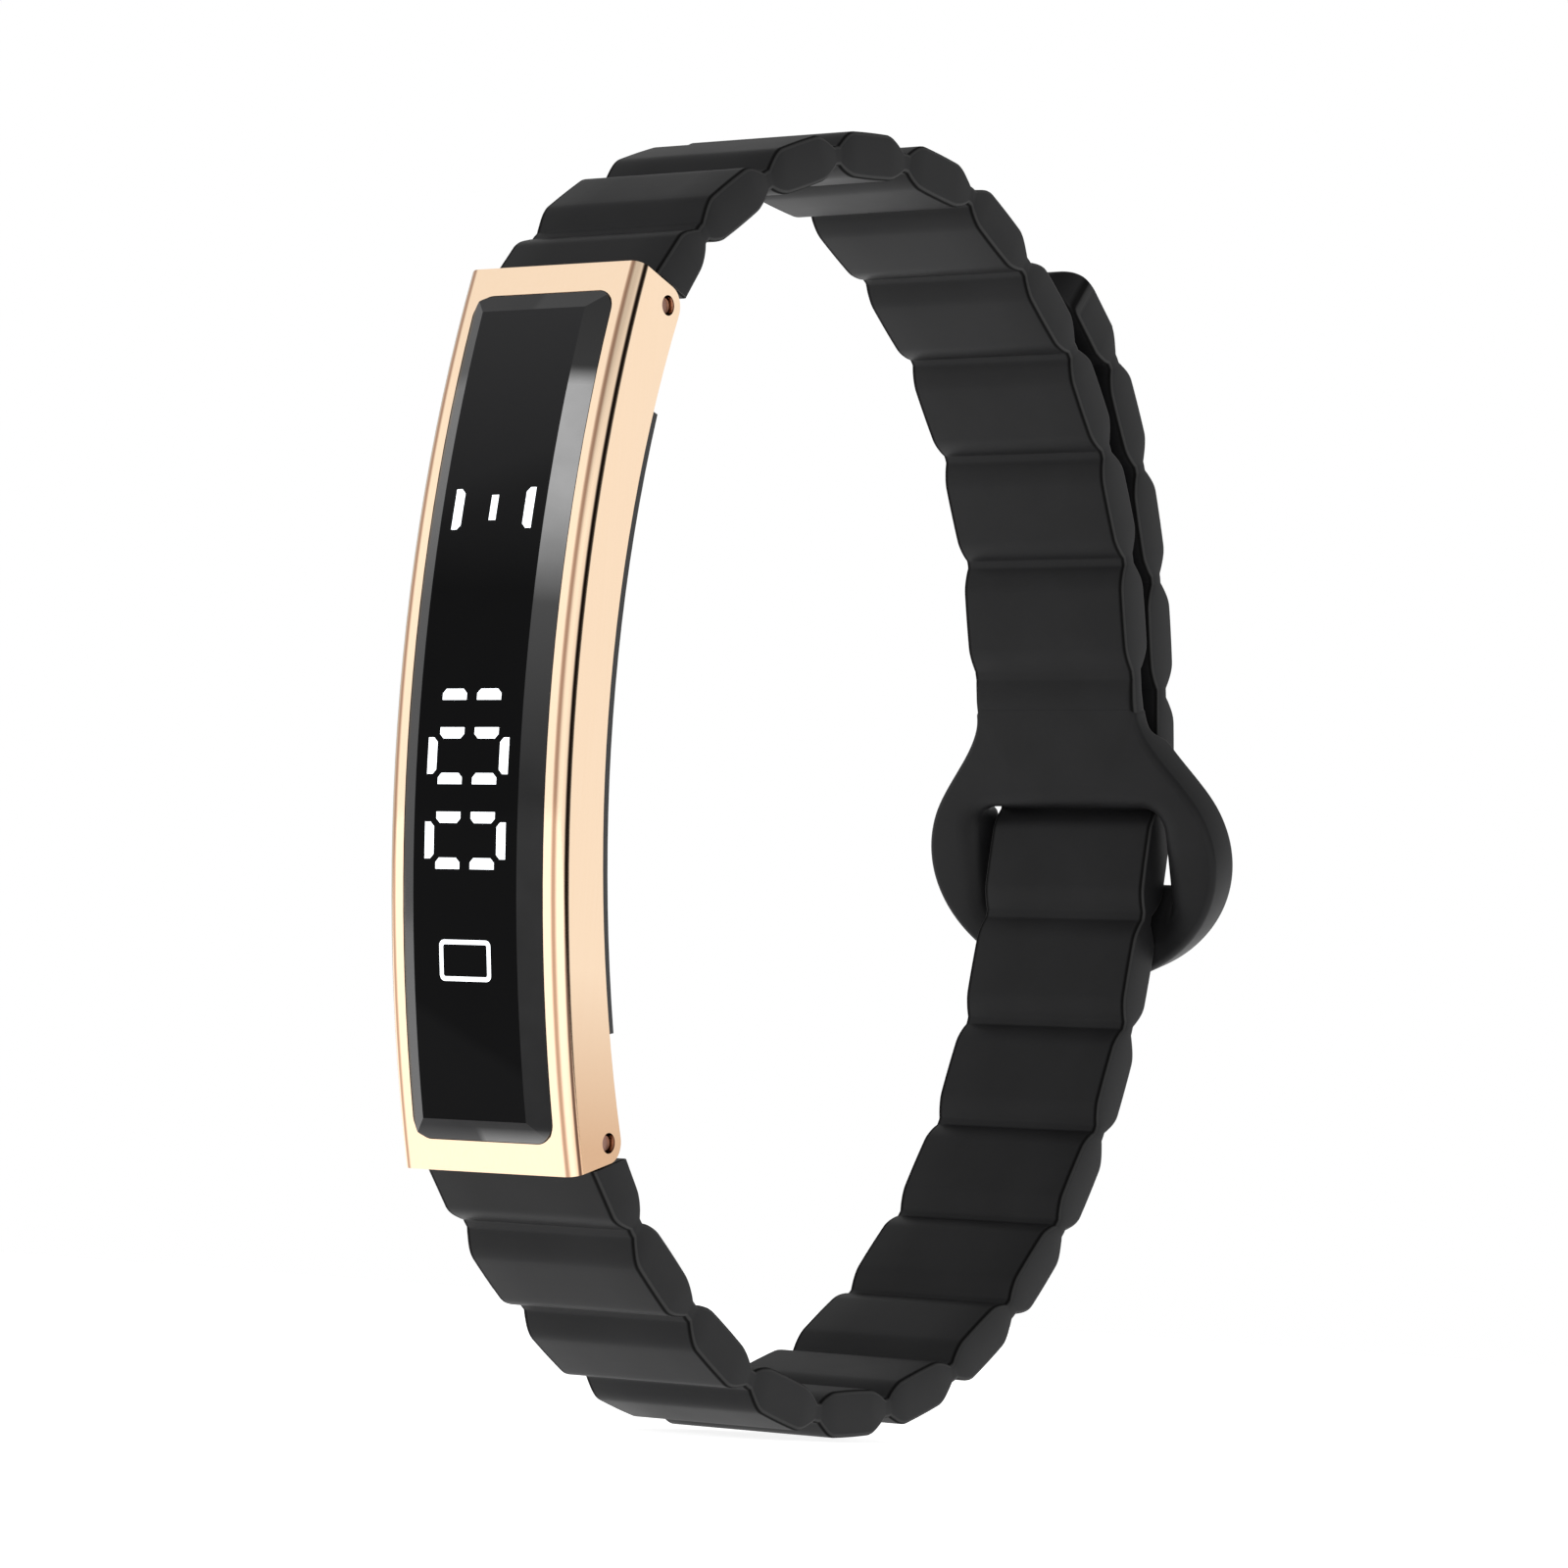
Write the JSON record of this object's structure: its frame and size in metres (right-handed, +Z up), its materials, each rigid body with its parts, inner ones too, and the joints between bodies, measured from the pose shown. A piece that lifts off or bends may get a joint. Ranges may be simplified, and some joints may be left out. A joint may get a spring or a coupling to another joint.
{
  "type": "fitness tracker band",
  "caption": "Slim curved fitness tracker in a polished metal frame on a segmented silicone strap that passes through a flat ring and folds back on itself, held by magnets.",
  "frame": {"origin": "centre of the wrist space inside the closed band, on the strap's middle plane", "axes": "+Z up along the tracker, -Y out through the display, +X across the strap to the wearer's right of the display"},
  "size_m": [0.0198, 0.0626, 0.0708],
  "materials": {
    "polished_frame": "polished rose gold",
    "black_glass": "polished near-black glass",
    "clear_film": "clear film",
    "mask": "matt",
    "lit": "white light-spreading resin",
    "board": "solder mask",
    "flex": "polyimide film",
    "steel": "satin",
    "ceramic": "matt",
    "chip": "matt",
    "cell": "satin foil",
    "led": "clear green",
    "cover": "fine matt",
    "seal": "soft",
    "dark_window": "dark clear",
    "gold": "plated",
    "silicone": "fine matt silicone",
    "magnet": "plated magnet"
  },
  "bodies": {
    "tracker": {"case_frame": "polished_frame", "cover_glass": "black_glass", "glass_adhesive": "clear_film", "light_mask": "mask", "display_segments": "lit", "light_board": "board", "display_flex": "flex", "main_board": "board", "shield_can": "steel", "chip_antenna": "ceramic", "motion_sensor": "chip", "vibration_motor": "steel", "battery": "cell", "sensor_board": "board", "green_leds": "led", "photodiode": "chip", "back_cover": "cover", "cover_seal": "seal", "sensor_window": "dark_window", "charging_contacts": "gold", "upper_bar_tube": "steel", "upper_bar_spring": "steel", "lower_bar_tube": "steel", "lower_bar_spring": "steel"},
    "upper_bar_tip_right": {"upper_bar_tip_right": "steel"},
    "upper_bar_tip_left": {"upper_bar_tip_left": "steel"},
    "lower_bar_tip_right": {"lower_bar_tip_right": "steel"},
    "lower_bar_tip_left": {"lower_bar_tip_left": "steel"},
    "upper_strap_1": {"upper_strap_1": "silicone", "upper_magnets_1": "magnet"},
    "upper_strap_2": {"upper_strap_2": "silicone", "upper_magnets_2": "magnet"},
    "upper_strap_3": {"upper_strap_3": "silicone", "upper_magnets_3": "magnet"},
    "strap_ring": {"upper_strap_4": "silicone", "upper_magnets_4": "magnet", "upper_strap_5": "silicone", "upper_magnets_5": "magnet", "strap_ring": "silicone"},
    "lower_strap_1": {"lower_strap_1": "silicone", "lower_magnets_1": "magnet"},
    "lower_strap_2": {"lower_strap_2": "silicone", "lower_magnets_2": "magnet"},
    "lower_strap_3": {"lower_strap_3": "silicone", "lower_magnets_3": "magnet"},
    "lower_strap_4": {"lower_strap_4": "silicone", "lower_magnets_4": "magnet"},
    "lower_strap_5": {"lower_strap_5": "silicone", "lower_magnets_5": "magnet"},
    "lower_strap_6": {"lower_strap_6": "silicone", "lower_magnets_6": "magnet"},
    "tail_link_1": {"tail_link_1": "silicone", "tail_magnet_1": "magnet"},
    "tail_link_2": {"tail_link_2": "silicone", "tail_magnet_2": "magnet"},
    "tail_link_3": {"tail_link_3": "silicone", "tail_magnet_3": "magnet"},
    "tail_tip": {"tail_tip": "silicone", "tip_magnet": "magnet"}
  },
  "joints": [
    {"name": "band_flex", "type": "hinge", "parent": "tracker", "child": "upper_strap_1", "pos_m": [0, -0.02284, 0.02152], "axis": [1, 0, 0], "range_deg": [-2.05, 2.05], "stiffness_Nm_per_rad": 0.03},
    {"name": "upper_strap_2_flex", "type": "hinge", "parent": "upper_strap_1", "child": "upper_strap_2", "pos_m": [0, -0.0145, 0.02975], "axis": [1, 0, 0], "range_deg": [-0.5, 0.5], "stiffness_Nm_per_rad": 0.03},
    {"name": "upper_strap_3_flex", "type": "hinge", "parent": "upper_strap_2", "child": "upper_strap_3", "pos_m": [0, -0.00169, 0.03332], "axis": [1, 0, 0], "range_deg": [-1.87, 1.87], "stiffness_Nm_per_rad": 0.03},
    {"name": "strap_ring_flex", "type": "hinge", "parent": "upper_strap_3", "child": "strap_ring", "pos_m": [0, 0.01107, 0.03001], "axis": [1, 0, 0], "range_deg": [-1.32, 1.32], "stiffness_Nm_per_rad": 0.03},
    {"name": "lower_strap_1_flex", "type": "hinge", "parent": "tracker", "child": "lower_strap_1", "pos_m": [0, -0.02284, -0.02152], "axis": [1, 0, 0], "range_deg": [-2.4, 2.4], "stiffness_Nm_per_rad": 0.03},
    {"name": "lower_strap_2_flex", "type": "hinge", "parent": "lower_strap_1", "child": "lower_strap_2", "pos_m": [0, -0.01437, -0.02974], "axis": [1, 0, 0], "range_deg": [-0.61, 0.61], "stiffness_Nm_per_rad": 0.03},
    {"name": "lower_strap_3_flex", "type": "hinge", "parent": "lower_strap_2", "child": "lower_strap_3", "pos_m": [0, -0.00208, -0.03474], "axis": [1, 0, 0], "range_deg": [-2.59, 2.59], "stiffness_Nm_per_rad": 0.03},
    {"name": "lower_strap_4_flex", "type": "hinge", "parent": "lower_strap_3", "child": "lower_strap_4", "pos_m": [0, 0.01097, -0.03227], "axis": [1, 0, 0], "range_deg": [-2.17, 2.17], "stiffness_Nm_per_rad": 0.03},
    {"name": "lower_strap_5_flex", "type": "hinge", "parent": "lower_strap_4", "child": "lower_strap_5", "pos_m": [0, 0.02126, -0.02381], "axis": [1, 0, 0], "range_deg": [-0.37, 0.37], "stiffness_Nm_per_rad": 0.03},
    {"name": "lower_strap_6_flex", "type": "hinge", "parent": "lower_strap_5", "child": "lower_strap_6", "pos_m": [0, 0.02731, -0.01192], "axis": [1, 0, 0], "range_deg": [-4.05, 4.05], "stiffness_Nm_per_rad": 0.03},
    {"name": "tail_peel", "type": "hinge", "parent": "lower_strap_6", "child": "tail_link_1", "pos_m": [0, 0.02872, 0.00793], "axis": [-1, 0, 0], "range_deg": [0, 20], "stiffness_Nm_per_rad": 0.006},
    {"name": "tail_link_2_peel", "type": "hinge", "parent": "tail_link_1", "child": "tail_link_2", "pos_m": [0, 0.02727, 0.01448], "axis": [-1, 0, 0], "range_deg": [-0.05, 20.05], "stiffness_Nm_per_rad": 0.006},
    {"name": "tail_link_3_peel", "type": "hinge", "parent": "tail_link_2", "child": "tail_link_3", "pos_m": [0, 0.0247, 0.02066], "axis": [-1, 0, 0], "range_deg": [-0.05, 20.05], "stiffness_Nm_per_rad": 0.006},
    {"name": "tail_tip_peel", "type": "hinge", "parent": "tail_link_3", "child": "tail_tip", "pos_m": [0, 0.02105, 0.02628], "axis": [-1, 0, 0], "range_deg": [-0.05, 20.05], "stiffness_Nm_per_rad": 0.006},
    {"name": "upper_right_tip_press", "type": "slide", "parent": "tracker", "child": "upper_bar_tip_right", "axis": [-1, 0, 0], "range_m": [0, 0.0013], "stiffness_N_per_m": 400, "deforming": ["upper_bar_spring"]},
    {"name": "upper_left_tip_press", "type": "slide", "parent": "tracker", "child": "upper_bar_tip_left", "axis": [1, 0, 0], "range_m": [0, 0.0013], "stiffness_N_per_m": 400, "deforming": ["upper_bar_spring"]},
    {"name": "lower_right_tip_press", "type": "slide", "parent": "tracker", "child": "lower_bar_tip_right", "axis": [-1, 0, 0], "range_m": [0, 0.0013], "stiffness_N_per_m": 400, "deforming": ["lower_bar_spring"]},
    {"name": "lower_left_tip_press", "type": "slide", "parent": "tracker", "child": "lower_bar_tip_left", "axis": [1, 0, 0], "range_m": [0, 0.0013], "stiffness_N_per_m": 400, "deforming": ["lower_bar_spring"]}
  ],
  "couplings": [
    {"joint": "upper_strap_2_flex", "follows": "band_flex", "ratio": -0.21611},
    {"joint": "upper_strap_3_flex", "follows": "band_flex", "ratio": -0.87126},
    {"joint": "strap_ring_flex", "follows": "band_flex", "ratio": -0.60793},
    {"joint": "lower_strap_1_flex", "follows": "band_flex", "ratio": -1.1259},
    {"joint": "lower_strap_2_flex", "follows": "band_flex", "ratio": 0.26636},
    {"joint": "lower_strap_3_flex", "follows": "band_flex", "ratio": 1.2147},
    {"joint": "lower_strap_4_flex", "follows": "band_flex", "ratio": 1.0137},
    {"joint": "lower_strap_5_flex", "follows": "band_flex", "ratio": -0.15278},
    {"joint": "lower_strap_6_flex", "follows": "band_flex", "ratio": -1.9113},
    {"joint": "tail_link_2_peel", "follows": "tail_peel", "ratio": 1},
    {"joint": "tail_link_3_peel", "follows": "tail_peel", "ratio": 1},
    {"joint": "tail_tip_peel", "follows": "tail_peel", "ratio": 1}
  ]
}
